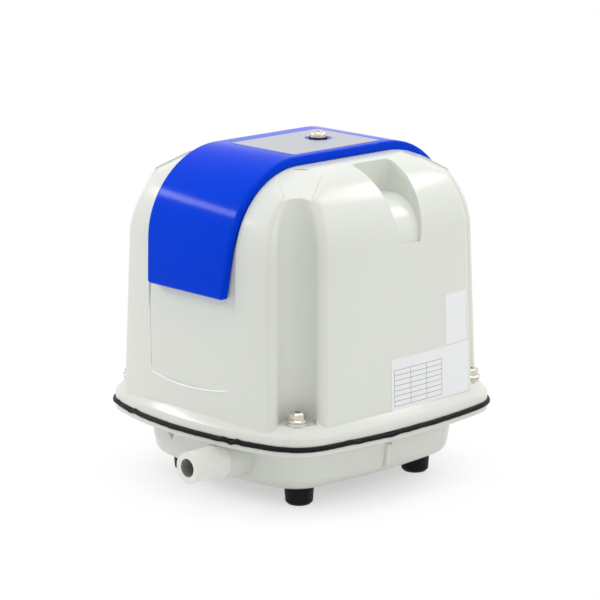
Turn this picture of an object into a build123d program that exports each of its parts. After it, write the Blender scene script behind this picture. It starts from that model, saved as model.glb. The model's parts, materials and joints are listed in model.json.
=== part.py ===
from math import cos, radians, sin, sqrt, tan
from build123d import *
import os

os.makedirs("parts", exist_ok=True)

# Frame: the origin is on the floor, midway between the four feet. +Z is up,
# -Y is the outlet side and +X is the side of the rating plate. Millimetres.

# Case plan: four bowed sides, the same bow for every outline
bow_front = 225.0          # plan radius of the front and rear sides
bow_side = 390.0           # plan radius of the left and right sides
rim_half_x = 93.0
rim_half_y = 98.0
rim_corner = 28.0
wall = 3.0

# Case heights
foot_height = 12.0
flange_thickness = 3.0
gasket_bottom = 43.3
gasket_thickness = 3.0
gasket_proud = 2.0         # how far the gasket stands out past both rims
rim_band = 4.7
rim_edge = 2.5             # rounding between the band and the flare
flare_height = 8.5         # 45 degree flare between the rim and the dome
dome_top = 198.5

# Dome walls, a little flatter in plan than the rim
dome_bow_front = 320.0
dome_bow_side = 550.0
front_reach = 90.5         # wall distance from the centre at the wall gauge height
side_reach = 85.2
wall_gauge = 140.0
front_draft = 2.0
side_draft = 1.8
front_shoulder = 49.5
side_shoulder = 43.0

# Corner flutes that clear the case bolts
bolt_half_x = 72.5
bolt_half_y = 72.5
flute_radius = 10.9        # also half the width of the groove
flute_lean = 2.4           # degrees that the flutes lean inwards, with the draft of the walls
flute_floor = 57.0
flute_lip = 5.0            # rounding where a flute leaves the dome wall
facet_reach = 79.3         # distance of the corner facet's middle from the centre
facet_gauge = 189.2        # height of its middle
facet_slope = 25.0         # degrees from level
facet_half_width = 10.2    # at its middle
facet_taper = 11.5         # degrees that each side narrows downwards
facet_step = 0.6           # how deep the facet lies below the rest of the corner

# Case bolts, M5 with an 8 mm hexagon
bolt_radius = 2.5
bolt_hole_radius = 2.8
bolt_flats = 8.0
bolt_head_height = 4.6
bolt_chamfer = 0.8
cross_length = 4.0         # cross recess in the bolts and the cover screw
cross_width = 1.1
cross_depth = 1.4
bolt_pad_radius = 5.6
bolt_pad_height = 1.5
washer_radius = 5.2
washer_thickness = 1.0
thread_boss_height = 1.2
thread_boss_radius = 4.6

# Filter cover: a strap that lies over the dome from front to rear
cover_half_width = 35.9
cover_reach = 93.5         # outer face of the strap at its lower end
cover_bottom = 128.8
cover_draft = 4.0
cover_shoulder = 55.0
cover_top = 203.9
cover_depth = 5.5          # from the strap's outer face to the seat below it
cover_shell = 2.5
cover_skirt = 2.2
cover_end_corner = 2.0
cover_edge = 1.4           # rounding along the strap's outer edges
seat_clearance = 0.3
panel_half_width = 37.2    # recessed panel that the strap lies in
panel_bottom = 70.5
panel_bottom_bow = 260.0

# Filter tray, filter and cover screw
tray_half_x = 30.0
tray_half_y = 40.0
tray_depth = 14.4
tray_clearance = 0.5
inlet_slot_width = 4.0
inlet_slot_length = 20.0
inlet_slot_pitch = 10.0
screw_y = 14.0
screw_radius = 2.0
screw_running = 0.05
screw_head_radius = 5.0
screw_head_height = 3.4
screw_head_dome = 2.0
screw_washer_radius = 5.6
screw_washer_thickness = 0.9
screw_length = 16.0
screw_boss_radius = 5.0

# Hand-grip pockets in the two side shoulders
pocket_y = 6.5
pocket_back = 50.5
pocket_floor = 178.5
pocket_floor_end = 58.0    # the floor turns down past here
pocket_floor_radius = 25.0
pocket_top_half = 15.5     # half-width at the top of the dome
pocket_low_half = 8.5      # half-width at the lower end of the pocket
pocket_low = 153.5
pocket_corner = 4.0

# Lower case
tub_half_x = 75.5
tub_half_y = 80.0
tub_corner = 28.0
tub_draft = 8.0
tub_bottom_edge = 9.0

# Feet
foot_half_x = 49.3
foot_half_y = 49.0
foot_bottom_radius = 8.2
foot_top_radius = 9.0
foot_edge = 1.5
foot_neck_radius = 5.5
foot_barb_radius = 7.0
foot_barb_height = 3.0
foot_hole_radius = 3.0
foot_hole_depth = 12.5

# Outlet
nozzle_x = 26.0
nozzle_z = 30.0
nozzle_tip = 116.0
nozzle_radius = 9.2
nozzle_bore = 5.4
nozzle_insert = 15.0
nozzle_insert_radius = 8.6
tank_outlet_radius = 6.5
boss_base_radius = 12.3
boss_tip_radius = 11.0
boss_tip = 92.0
seal_width = 2.4
seal_depth = 1.5
fit_gap = 0.05

# Air tank inside the lower case
tank_top = 36.0
ledge_width = 6.0
ledge_depth = 3.0
tank_gasket_thickness = 1.0
tank_cover_thickness = 3.0
tank_margin = 1.5
cable_bay_x = -38.0        # the tank leaves a bay for the cable in the rear left corner
cable_bay_y = 40.0
tank_screw_radius = 1.5
tank_screw_x = 14.0
tank_screw_y = 30.0
hose_spigot_radius = 4.5
hose_spigot_bore = 3.0
hose_spigot_height = 8.0
hose_wall = 2.5
hose_end_gap = 2.0
clip_thickness = 1.0
clip_width = 5.0

# Cable gland in the rear wall of the cable bay
gland_x = -46.0
gland_z = 27.0
gland_neck_radius = 6.0
gland_flange_radius = 7.0
gland_flange_thickness = 2.5
gland_sleeve_radius = 5.5
gland_sleeve_length = 12.0
gland_bore = 3.5
gland_pad_radius = 9.5
gland_pad_depth = 7.0

# Pump frame on four rubber mounts
mount_x = 30.0
mount_y = 34.0
mount_radius = 8.0
mount_height = 12.0
mount_waist = 1.5
mount_peg_radius = 3.0
mount_peg_height = 5.0
mount_neck_radius = 3.5
mount_cap_radius = 5.0
mount_cap_height = 2.5
base_half_x = 52.0
base_half_y = 46.0
base_thickness = 4.0
end_plate_inner = 42.0
end_plate_thickness = 4.0
head_half = 36.0
chamber_radius = 29.0
end_hole_radius = 30.0
rod_z = 104.0

# Armature
stroke = 2.5               # how far the armature moves each way
rod_radius = 4.0
rod_end_radius = 3.0
hub_plate_radius = 15.0
hub_plate_thickness = 2.5
outer_plate_radius = 14.0
outer_plate_thickness = 2.0
nut_flats = 7.0
nut_height = 3.0
holder_half_x = 9.0
holder_half_y = 32.0
holder_half_z = 14.0
magnet_near = 6.0
magnet_far = 20.0
magnet_low = 5.5
magnet_high = 12.0

# Diaphragms and pump heads
diaphragm_radius = 34.0
diaphragm_thickness = 2.0
web_half = 0.6
roll_inner = 17.0
roll_depth = 4.0
head_depth = 22.0
chamber_clearance = 1.5
valve_plate_thickness = 3.0
pocket_half_x = 24.0
pocket_low_z = 4.0
pocket_high_z = 27.0
port_radius = 4.5
port_z = 20.0
flap_half_width = 8.0
flap_low = 14.5
flap_high = 26.5
flap_thickness = 1.2
flap_gap = 0.05
head_cover_thickness = 3.0
head_screw_half = 30.0
head_screw_radius = 2.0
head_screw_head_radius = 3.6
head_screw_head_height = 2.4
intake_radius = 4.0

# Stators and coils
air_gap = 2.5
leg_length = 30.0
core_back = 8.0
core_half_y = 27.0
core_half_z = 14.0
outer_leg = 8.0
centre_leg = 12.0
stator_screw_y = 22.0
bobbin_wall = 1.2
bobbin_gap = 0.2
bobbin_start = 3.5
bobbin_length = 24.0
bobbin_reach = 10.0
coil_reach = 8.6
pedestal_width = 10.0

# Safety switch and terminal block
switch_half_x = 9.0
switch_depth = 12.0
switch_height = 14.0
lever_half_x = 4.0
lever_thickness = 1.2
lever_length = 11.0
lever_pivot_radius = 1.2
lever_pivot_running = 0.05
lever_offset = 4.5
ear_thickness = 1.6
ear_drop = 2.0
terminal_x = -59.5
terminal_y = 8.0
terminal_width = 13.0
terminal_length = 30.0
terminal_height = 12.0
terminal_bays = 3

# Sizes that follow from the ones above
rim_bottom = gasket_bottom + gasket_thickness
flare_bottom = rim_bottom + rim_band
seat_top = cover_top - cover_depth
tray_floor = seat_top - tray_depth
tub_inner_x = tub_half_x - wall
tub_inner_y = tub_half_y - wall
pad_top = flute_floor + bolt_pad_height
head_seat = pad_top + washer_thickness
flange_bottom = gasket_bottom - flange_thickness
cover_inner_top = cover_top - cover_shell
tank_cover_bottom = tank_top + tank_gasket_thickness
tank_cover_top = tank_cover_bottom + tank_cover_thickness
frame_bottom = tank_cover_top + mount_height
frame_top = frame_bottom + base_thickness
diaphragm_seat = end_plate_inner + end_plate_thickness
head_inner = diaphragm_seat + diaphragm_thickness
chamber_depth = outer_plate_thickness + nut_height + stroke + chamber_clearance
plate_inner = head_inner + chamber_depth
plate_outer = plate_inner + valve_plate_thickness
head_outer = head_inner + head_depth
cover_outer = head_outer + head_cover_thickness
hose_y = (plate_outer + head_outer) / 2
head_bottom = rod_z - head_half
pole_face = holder_half_x + air_gap
core_back_start = pole_face + leg_length
core_outer = core_back_start + core_back
rod_shoulder = diaphragm_seat - hub_plate_thickness
rod_end = head_inner + outer_plate_thickness + nut_height
sides = (-1, 1)
corners = [(x, y) for x in sides for y in sides]


def sag(distance, bow):
    """How far a bowed side falls back at a distance from its middle."""
    return bow - sqrt(bow * bow - distance * distance)


def bowed_outline(half_x, half_y, corner):
    """Plan outline with four bowed sides and rounded corners."""
    with BuildSketch(mode=Mode.PRIVATE) as outline:
        with Locations((0, bow_front - half_y)):
            Circle(bow_front)
        with Locations((0, half_y - bow_front)):
            Circle(bow_front, mode=Mode.INTERSECT)
        with Locations((bow_side - half_x, 0)):
            Circle(bow_side, mode=Mode.INTERSECT)
        with Locations((half_x - bow_side, 0)):
            Circle(bow_side, mode=Mode.INTERSECT)
        fillet(outline.vertices(), corner)
    return outline.sketch


def prism(plan, bottom, top, taper=0):
    """A plan outline extruded upwards from one height to another."""
    with BuildPart(mode=Mode.PRIVATE) as solid:
        with BuildSketch(Plane.XY.offset(bottom)):
            add(plan)
        extrude(amount=top - bottom, taper=taper)
    return solid.part


def hanging_prism(plan, top, bottom, taper=0):
    """A plan outline extruded downwards from one height to another."""
    with BuildPart(mode=Mode.PRIVATE) as solid:
        with BuildSketch(Plane.XY.offset(top)):
            add(plan)
        extrude(amount=bottom - top, taper=taper)
    return solid.part


def block(low, high):
    """A box between two corner points."""
    with BuildPart(mode=Mode.PRIVATE) as solid:
        with Locations(tuple((a + b) / 2 for a, b in zip(low, high))):
            Box(*(b - a for a, b in zip(low, high)))
    return solid.part


def post(x, y, bottom, top, radius):
    """An upright cylinder."""
    with BuildPart(mode=Mode.PRIVATE) as solid:
        with BuildSketch(Plane.XY.offset(bottom)):
            with Locations((x, y)):
                Circle(radius)
        extrude(amount=top - bottom)
    return solid.part


def rod_disc(side, near, far, radius, bore=0, x=0, z=rod_z):
    """A cylinder along Y on one side of the pump, with an optional bore."""
    with BuildPart(mode=Mode.PRIVATE) as solid:
        with BuildSketch(Plane.XZ.offset(-side * near)):
            with Locations((x, z)):
                Circle(radius)
                if bore:
                    Circle(bore, mode=Mode.SUBTRACT)
        extrude(amount=-side * (far - near))
    return solid.part


def wall_disc(reach, draft, bow, shoulder, inset, heading):
    """Half of a large turned solid whose rim is one bowed, drafted wall of the dome."""
    top = dome_top - inset
    low_radius = bow + (wall_gauge - rim_bottom) * tan(radians(draft)) - inset
    top_radius = bow - (dome_top - wall_gauge) * tan(radians(draft)) - inset
    facing = Vector(1, 0, 0).rotate(Axis.Z, heading)
    start = facing.rotate(Axis.Z, -90)
    plane = Plane(origin=facing * (reach - bow), x_dir=start, z_dir=-facing)
    with BuildPart(mode=Mode.PRIVATE) as solid:
        with BuildSketch(plane) as profile:
            with BuildLine():
                Polyline((0, rim_bottom), (low_radius, rim_bottom), (top_radius, top), (0, top), close=True)
            make_face()
            fillet(profile.vertices().sort_by(Axis.Y)[-2:].sort_by(Axis.X)[-1], shoulder - inset)
        revolve(axis=Axis(plane.origin, (0, 0, 1)), revolution_arc=180)
    return solid.part


def four_ways(quarter):
    """A solid near the corner towards +X and +Y, with its mirror images at the others."""
    with BuildPart(mode=Mode.PRIVATE) as solid:
        add(quarter)
        mirror(about=Plane.YZ)
        mirror(about=Plane.XZ)
    return solid.part


def flute(bottom, radius):
    """The U-shaped groove that clears one bolt, open to the corner towards +X and +Y."""
    axis = Vector(0, 0, 1).rotate(Axis((0, 0, 0), (1, -1, 0)), flute_lean)
    below = Vector(bolt_half_x, bolt_half_y, flute_floor) - axis * wall * 4
    size = dome_top + wall
    with BuildPart(mode=Mode.PRIVATE) as solid:
        with BuildSketch(Plane(origin=below, x_dir=(1, 1, 0), z_dir=axis)):
            Circle(radius)
            Rectangle(bolt_half_x, 2 * radius, align=(Align.MIN, Align.CENTER))
        extrude(amount=size)
        add(block((0, 0, bottom), (size, size, size)), mode=Mode.INTERSECT)
    return solid.part


def dome(inset, lip=0):
    """The dome or, with an inset, its inside: one quarter cut to its walls, then mirrored."""
    with BuildPart(mode=Mode.PRIVATE) as quarter:
        add(block((0, 0, rim_bottom), (rim_half_x, rim_half_y, dome_top - inset)))
        for reach, draft, bow, shoulder, heading in (
            (side_reach, side_draft, dome_bow_side, side_shoulder, 0),
            (front_reach, front_draft, dome_bow_front, front_shoulder, 90),
        ):
            add(wall_disc(reach, draft, bow, shoulder, inset, heading), mode=Mode.INTERSECT)
        add(facet_cutter(inset), mode=Mode.SUBTRACT)
        add(flute(rim_bottom, flute_radius + inset), mode=Mode.SUBTRACT)
        if lip:
            fillet(quarter.edges().filter_by(is_flute_mouth), lip)
            add(facet_recess(), mode=Mode.SUBTRACT)
    return four_ways(quarter.part)


def is_flute_mouth(edge):
    """True for the edges where a flute's straight walls meet the dome's walls."""
    middle = edge.position_at(0.5)
    across = abs(middle.X - middle.Y - bolt_half_x + bolt_half_y) / sqrt(2)
    out = (middle.X + middle.Y) / sqrt(2)
    axis = (bolt_half_x + bolt_half_y) / sqrt(2) - (middle.Z - flute_floor) * tan(radians(flute_lean))
    upright = abs(edge.tangent_at(0.5).Z) > 0.3
    return upright and abs(across - flute_radius) < fit_gap and out > axis + fit_gap


def arch(inset, bottom, half_width):
    """The strap's outer arch, set in by a distance and extruded across the dome."""
    top = cover_top - inset
    slope = tan(radians(cover_draft))
    low_y = cover_reach - inset / cos(radians(cover_draft)) - (bottom - cover_bottom) * slope
    top_y = low_y - (top - bottom) * slope
    with BuildPart(mode=Mode.PRIVATE) as solid:
        with BuildSketch(Plane.YZ.offset(-half_width)) as profile:
            with BuildLine():
                Polyline((-low_y, bottom), (-top_y, top), (top_y, top), (low_y, bottom), close=True)
            make_face()
            fillet(profile.vertices().sort_by(Axis.Y)[-2:], cover_shoulder - inset)
        extrude(amount=2 * half_width)
    return solid.part


def pocket_cutter(side, grow):
    """The hollow of one hand-grip pocket; grow thickens it for the wall behind it."""
    reach = side_reach + side_shoulder
    above = dome_top + side_shoulder
    slope = (pocket_top_half - pocket_low_half) / (dome_top - pocket_low)
    with BuildPart(mode=Mode.PRIVATE) as solid:
        with BuildSketch(Plane.XZ):
            with BuildLine():
                back = pocket_back - grow
                floor = pocket_floor - grow
                radius = pocket_floor_radius - grow
                turn = Line((side * back, above), (side * back, floor))
                flat = Line(turn @ 1, (side * pocket_floor_end, floor))
                low = (side * (pocket_floor_end + radius), floor - radius)
                curve = RadiusArc(flat @ 1, low, side * radius)
                out = Line(curve @ 1, (side * reach, floor - radius))
                up = Line(out @ 1, (side * reach, above))
                Line(up @ 1, turn @ 0)
            make_face()
        extrude(amount=reach, both=True)
        with BuildSketch(Plane.YZ):
            with BuildLine():
                low_z = pocket_low - pocket_floor_radius
                low_half = pocket_low_half + grow - slope * pocket_floor_radius
                top_half = pocket_top_half + grow + slope * side_shoulder
                Polyline(
                    (pocket_y - low_half, low_z),
                    (pocket_y + low_half, low_z),
                    (pocket_y + top_half, above),
                    (pocket_y - top_half, above),
                    close=True,
                )
            make_face()
        extrude(amount=side * reach, mode=Mode.INTERSECT)
        upright = solid.edges().filter_by(lambda e: abs(e.tangent_at(0.5).Z) > 0.9)
        fillet([e for e in upright if abs(abs(e.center().X) - back) < 1], pocket_corner)
    return solid.part


def facet_plane(inset):
    """The sloping plane of one corner facet, its x axis across the corner."""
    direction = Vector(1, 1, 0).normalized()
    normal = direction * sin(radians(facet_slope)) + Vector(0, 0, cos(radians(facet_slope)))
    origin = direction * facet_reach + Vector(0, 0, facet_gauge) - normal * inset
    return Plane(origin=origin, x_dir=(-1, 1, 0), z_dir=normal)


def facet_cutter(inset):
    """What takes the ridge off one corner, in the corner towards +X and +Y."""
    with BuildPart(mode=Mode.PRIVATE) as solid:
        with BuildSketch(facet_plane(inset - facet_step)):
            Rectangle(dome_top, dome_top / 2)
        extrude(amount=dome_top / 2)
    return solid.part


def facet_recess():
    """The facet's own shallow recess, which narrows towards the flute."""
    reach = 2 * facet_half_width
    spread = reach * tan(radians(facet_taper))
    low = facet_half_width - spread
    high = facet_half_width + spread
    with BuildPart(mode=Mode.PRIVATE) as solid:
        with BuildSketch(facet_plane(0)):
            Polygon((-low, -reach), (low, -reach), (high, reach), (-high, reach), align=None)
        extrude(amount=reach)
    return solid.part


def strap_channel():
    """What is cut away over the seat of the strap, down to the panel's bowed lower edge."""
    with BuildPart(mode=Mode.PRIVATE) as channel:
        with BuildSketch(Plane.XZ.offset(-rim_half_y)):
            with Locations((0, panel_bottom + panel_bottom_bow)):
                Circle(panel_bottom_bow)
            with Locations((0, dome_top)):
                Rectangle(2 * panel_half_width, 2 * dome_top, mode=Mode.INTERSECT)
        extrude(amount=2 * rim_half_y)
        add(arch(cover_depth, rim_bottom, rim_half_x), mode=Mode.SUBTRACT)
    return channel.part


def at_corners(make):
    """One copy of a piece for each case corner, as separate solids or for a cut."""
    with BuildPart(mode=Mode.PRIVATE) as solid:
        for x, y in corners:
            add(make(x * bolt_half_x, y * bolt_half_y))
    return solid.part


def case_cavity():
    """The hollow inside the upper case, less the walls of what is sunk into it."""
    above = dome_top + wall
    low = (-tray_half_x - wall, -tray_half_y - wall, tray_floor - wall)
    with BuildPart(mode=Mode.PRIVATE) as cavity:
        add(dome(wall))
        add(arch(cover_depth + wall, rim_bottom, rim_half_x), mode=Mode.INTERSECT)
        for side in sides:
            add(pocket_cutter(side, wall), mode=Mode.SUBTRACT)
        add(block(low, (tray_half_x + wall, tray_half_y + wall, above)), mode=Mode.SUBTRACT)
    return cavity.part


def rim_ring():
    """The upper rim: an upright band, then a flare that runs up to the dome."""
    rim_plan = bowed_outline(rim_half_x, rim_half_y, rim_corner)
    with BuildPart(mode=Mode.PRIVATE) as rim:
        add(prism(rim_plan, rim_bottom, flare_bottom))
        add(prism(rim_plan, flare_bottom, flare_bottom + flare_height, taper=45))
        fillet(rim.edges().filter_by(lambda e: abs(e.center().Z - flare_bottom) < fit_gap), rim_edge)
    return rim.part


def upper_case():
    above = dome_top + wall
    with BuildPart() as case:
        add(dome(0, flute_lip))
        add(rim_ring())
        add(four_ways(flute(flute_floor, flute_radius)), mode=Mode.SUBTRACT)
        add(strap_channel(), mode=Mode.SUBTRACT)
        for side in sides:
            add(pocket_cutter(side, 0), mode=Mode.SUBTRACT)
        tray = block((-tray_half_x, -tray_half_y, tray_floor), (tray_half_x, tray_half_y, above))
        add(tray, mode=Mode.SUBTRACT)
        add(case_cavity(), mode=Mode.SUBTRACT)
        add(at_corners(lambda x, y: post(x, y, flute_floor, pad_top, bolt_pad_radius)))
        add(at_corners(lambda x, y: post(x, y, rim_bottom, pad_top, bolt_hole_radius)), mode=Mode.SUBTRACT)
        add(post(0, screw_y, tray_floor, cover_inner_top - seat_clearance, screw_boss_radius))
        with BuildSketch(Plane.XY.offset(cover_inner_top)):
            with Locations((0, screw_y)):
                Circle(screw_radius + screw_running)
        extrude(amount=-screw_length, mode=Mode.SUBTRACT)
        with BuildSketch(Plane.XY.offset(tray_floor)):
            for row in sides:
                with Locations((0, row * tray_half_y / 2 - screw_boss_radius)):
                    with GridLocations(inlet_slot_pitch, 0, 4, 1):
                        SlotOverall(inlet_slot_length, inlet_slot_width, rotation=90)
        extrude(amount=-wall, mode=Mode.SUBTRACT)
    return case.part


def case_gasket():
    outer = bowed_outline(rim_half_x + gasket_proud, rim_half_y + gasket_proud, rim_corner + gasket_proud)
    inner = bowed_outline(tub_inner_x + 2 * wall, tub_inner_y + 2 * wall, 2 * tub_corner)
    with BuildPart() as gasket:
        add(prism(outer, gasket_bottom, rim_bottom))
        add(prism(inner, gasket_bottom, rim_bottom), mode=Mode.SUBTRACT)
        add(at_corners(lambda x, y: post(x, y, gasket_bottom, rim_bottom, bolt_hole_radius)), mode=Mode.SUBTRACT)
    return gasket.part


def case_bolts():
    """Four hexagon bolts with a domed head and a cross recess."""
    thread_end = flange_bottom - thread_boss_height
    with BuildPart() as bolt:
        with BuildSketch():
            RegularPolygon(bolt_flats / 2, 6, major_radius=False)
        extrude(amount=bolt_head_height)
        chamfer(bolt.faces().sort_by(Axis.Z)[-1].edges(), bolt_chamfer)
        with BuildSketch(Plane.XY.offset(bolt_head_height)):
            Rectangle(cross_length, cross_width)
            Rectangle(cross_width, cross_length)
        extrude(amount=-cross_depth, mode=Mode.SUBTRACT)
        with BuildSketch():
            Circle(bolt_radius)
        extrude(amount=thread_end - head_seat)
    with BuildPart() as bolts:
        with Locations([(x * bolt_half_x, y * bolt_half_y, head_seat) for x, y in corners]):
            add(bolt.part)
    return bolts.part


def case_washers():
    with BuildPart() as washers:
        with BuildSketch(Plane.XY.offset(pad_top)):
            with Locations([(x * bolt_half_x, y * bolt_half_y) for x, y in corners]):
                Circle(washer_radius)
                Circle(bolt_hole_radius, mode=Mode.SUBTRACT)
        extrude(amount=washer_thickness)
    return washers.part


def filter_cover():
    """The strap: a thin arch with skirts along both sides and two closed ends."""
    seat = cover_depth - seat_clearance
    with BuildPart() as cover:
        add(arch(0, cover_bottom, cover_half_width))
        rims = cover.faces().filter_by(Axis.X).edges().filter_by(lambda e: e.center().Z > cover_bottom + 1)
        fillet(rims, cover_edge)
        add(arch(seat, cover_bottom - wall, cover_half_width + wall), mode=Mode.SUBTRACT)
        ends = cover.edges().filter_by(Axis.Y, tolerance=20).filter_by(lambda e: e.center().Z < cover_bottom + 1)
        fillet(ends, cover_end_corner)
        inner_half = cover_half_width - cover_skirt
        with BuildPart(mode=Mode.PRIVATE) as hollow:
            add(arch(cover_shell, cover_bottom + cover_skirt, inner_half))
        add(hollow.part, mode=Mode.SUBTRACT)
        with BuildSketch(Plane.XY.offset(cover_top)):
            with Locations((0, screw_y)):
                Circle(screw_radius + seat_clearance)
        extrude(amount=-cover_depth, mode=Mode.SUBTRACT)
    return cover.part


def cover_screw():
    seat = cover_top + screw_washer_thickness
    with BuildPart() as screw:
        with BuildSketch(Plane.XY.offset(seat)):
            with Locations((0, screw_y)):
                Circle(screw_head_radius)
        extrude(amount=screw_head_height)
        fillet(screw.edges().sort_by(Axis.Z)[-1], screw_head_dome)
        with BuildSketch(Plane.XY.offset(seat + screw_head_height)):
            with Locations((0, screw_y)):
                Rectangle(cross_length, cross_width)
                Rectangle(cross_width, cross_length)
        extrude(amount=-cross_depth, mode=Mode.SUBTRACT)
        with BuildSketch(Plane.XY.offset(seat)):
            with Locations((0, screw_y)):
                Circle(screw_radius)
        extrude(amount=-screw_length)
    return screw.part


def cover_screw_washer():
    with BuildPart() as washer:
        with BuildSketch(Plane.XY.offset(cover_top)):
            with Locations((0, screw_y)):
                Circle(screw_washer_radius)
                Circle(screw_radius + screw_running, mode=Mode.SUBTRACT)
        extrude(amount=screw_washer_thickness)
    return washer.part


def filter_element():
    """A foam block that fills the tray, with a hole for the screw boss."""
    half_x = tray_half_x - tray_clearance
    half_y = tray_half_y - tray_clearance
    top = cover_inner_top - tray_clearance
    with BuildPart() as element:
        add(block((-half_x, -half_y, tray_floor), (half_x, half_y, top)))
        fillet(element.edges().filter_by(Axis.Z), 2 * tray_clearance)
        add(post(0, screw_y, tray_floor, top, screw_boss_radius + tray_clearance), mode=Mode.SUBTRACT)
    return element.part


def tank_plan(inset):
    """Plan of the air tank: the inside of the lower case less the cable bay."""
    with BuildSketch(mode=Mode.PRIVATE) as plan:
        add(bowed_outline(tub_inner_x - inset, tub_inner_y - inset, tub_corner - wall - inset))
        with Locations((cable_bay_x + inset, cable_bay_y - inset)):
            Rectangle(rim_half_x, rim_half_y, align=(Align.MAX, Align.MIN), mode=Mode.SUBTRACT)
    return plan.sketch


def ring(outer, inner, bottom, top):
    """An upright wall between two plan outlines."""
    with BuildPart(mode=Mode.PRIVATE) as solid:
        add(prism(outer, bottom, top))
        add(prism(inner, bottom, top), mode=Mode.SUBTRACT)
    return solid.part


def tub_wall_y(x, z):
    """Outer face of the rear tub wall at a place, from the bow and the draft."""
    return tub_half_y - sag(x, bow_front) - (gasket_bottom - z) * tan(radians(tub_draft))


def tank_screw_spots():
    """Screws in the middle of the tank ledge, along all four sides."""
    middle = (ledge_width + tank_margin) / 2
    along = [(tub_inner_x - middle - sag(tank_screw_y, bow_side), tank_screw_y)]
    along.append((tank_screw_x, tub_inner_y - middle - sag(tank_screw_x, bow_front)))
    return [(x * a, y * b) for a, b in along for x, y in corners]


def lower_case():
    rim_plan = bowed_outline(rim_half_x, rim_half_y, rim_corner)
    tub_plan = bowed_outline(tub_half_x, tub_half_y, tub_corner)
    inner_plan = bowed_outline(tub_inner_x, tub_inner_y, tub_corner - wall)
    floor = foot_height + wall
    with BuildPart(mode=Mode.PRIVATE) as hollow:
        add(hanging_prism(inner_plan, gasket_bottom, floor, taper=tub_draft))
        fillet(hollow.faces().sort_by(Axis.Z)[0].edges(), tub_bottom_edge - wall)
        add(ring(tank_plan(0), tank_plan(ledge_width), tank_top - ledge_depth, tank_top), mode=Mode.SUBTRACT)
        add(ring(tank_plan(0), tank_plan(wall), floor, tank_top), mode=Mode.SUBTRACT)
    boss_root = tub_wall_y(nozzle_x, nozzle_z)
    with BuildPart() as case:
        add(hanging_prism(tub_plan, gasket_bottom, foot_height, taper=tub_draft))
        fillet(case.faces().sort_by(Axis.Z)[0].edges(), tub_bottom_edge)
        add(prism(rim_plan, flange_bottom, gasket_bottom))
        thread_end = flange_bottom - thread_boss_height
        add(at_corners(lambda x, y: post(x, y, thread_end, gasket_bottom, thread_boss_radius)))
        with BuildSketch(Plane.XZ.offset(boss_root - wall)):
            with Locations((nozzle_x, nozzle_z)):
                Circle(boss_base_radius)
        with BuildSketch(Plane.XZ.offset(boss_tip)):
            with Locations((nozzle_x, nozzle_z)):
                Circle(boss_tip_radius)
        loft()
        pad_face = tub_wall_y(gland_x, gland_z) + wall / 2
        with BuildSketch(Plane.XZ.offset(-pad_face)):
            with Locations((gland_x, gland_z)):
                Circle(gland_pad_radius)
        extrude(amount=gland_pad_depth)
        add(hollow.part, mode=Mode.SUBTRACT)
        with BuildSketch(Plane.XZ.offset(-pad_face + gland_pad_depth)):
            with Locations((gland_x, gland_z)):
                Circle(gland_pad_radius)
        extrude(amount=-gland_pad_depth)
        with BuildSketch(Plane.XZ.offset(-pad_face)):
            with Locations((gland_x, gland_z)):
                Circle(gland_neck_radius + fit_gap)
        extrude(amount=gland_pad_depth, mode=Mode.SUBTRACT)
        with BuildSketch(Plane.XZ.offset(boss_tip)):
            with Locations((nozzle_x, nozzle_z)):
                Circle(nozzle_insert_radius + fit_gap)
        extrude(amount=-nozzle_insert, mode=Mode.SUBTRACT)
        with BuildSketch(Plane.XZ.offset(boss_tip)):
            with Locations((nozzle_x, nozzle_z)):
                Circle(tank_outlet_radius)
        extrude(amount=-(boss_tip - boss_root + 2 * ledge_width + wall), mode=Mode.SUBTRACT)
        add(at_corners(lambda x, y: post(x, y, thread_end, gasket_bottom, bolt_radius + fit_gap)), mode=Mode.SUBTRACT)
        with BuildSketch(Plane.XY.offset(foot_height)):
            with Locations([(x * foot_half_x, y * foot_half_y) for x, y in corners]):
                Circle(foot_neck_radius + fit_gap)
        extrude(amount=wall, mode=Mode.SUBTRACT)
        with BuildSketch(Plane.XY.offset(tank_top)):
            with Locations(tank_screw_spots()):
                Circle(tank_screw_radius + fit_gap)
        extrude(amount=-ledge_depth, mode=Mode.SUBTRACT)
    return case.part


def foot(x, y):
    """A push-in rubber foot: a tapered pad, a neck in the case floor and a barb above it."""
    floor_top = foot_height + wall
    top = floor_top + foot_barb_height
    with BuildPart() as rubber:
        with BuildSketch(Plane.XZ):
            with BuildLine():
                Polyline(
                    (0, 0),
                    (foot_bottom_radius - foot_edge, 0),
                    (foot_bottom_radius, foot_edge),
                    (foot_top_radius, foot_height),
                    (foot_neck_radius, foot_height),
                    (foot_neck_radius, floor_top),
                    (foot_barb_radius, floor_top),
                    (foot_neck_radius, top),
                    (0, top),
                    close=True,
                )
            make_face()
        revolve(axis=Axis.Z)
        with BuildSketch():
            Circle(foot_hole_radius)
        extrude(amount=foot_hole_depth, mode=Mode.SUBTRACT)
    return rubber.part.moved(Location((x * foot_half_x, y * foot_half_y, 0)))


def outlet_nozzle():
    """A hose spigot whose thinner inner end sits in the boss, up to a shoulder."""
    inner_end = boss_tip - nozzle_insert
    with BuildPart() as nozzle:
        add(rod_disc(-1, inner_end, boss_tip, nozzle_insert_radius, x=nozzle_x, z=nozzle_z))
        add(rod_disc(-1, boss_tip, nozzle_tip, nozzle_radius, x=nozzle_x, z=nozzle_z))
        groove = seal_groove(inner_end)
        add(groove, mode=Mode.SUBTRACT)
        add(rod_disc(-1, inner_end, nozzle_tip, nozzle_bore, x=nozzle_x, z=nozzle_z), mode=Mode.SUBTRACT)
    return nozzle.part


def seal_groove(inner_end):
    """The ring-shaped room for the seal near the spigot's inner end."""
    near = inner_end + seal_width
    outer = nozzle_insert_radius + fit_gap
    return rod_disc(-1, near, near + seal_width, outer, nozzle_insert_radius - seal_depth, nozzle_x, nozzle_z)


def nozzle_seal():
    with BuildPart() as seal:
        add(seal_groove(boss_tip - nozzle_insert))
    return seal.part


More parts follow.
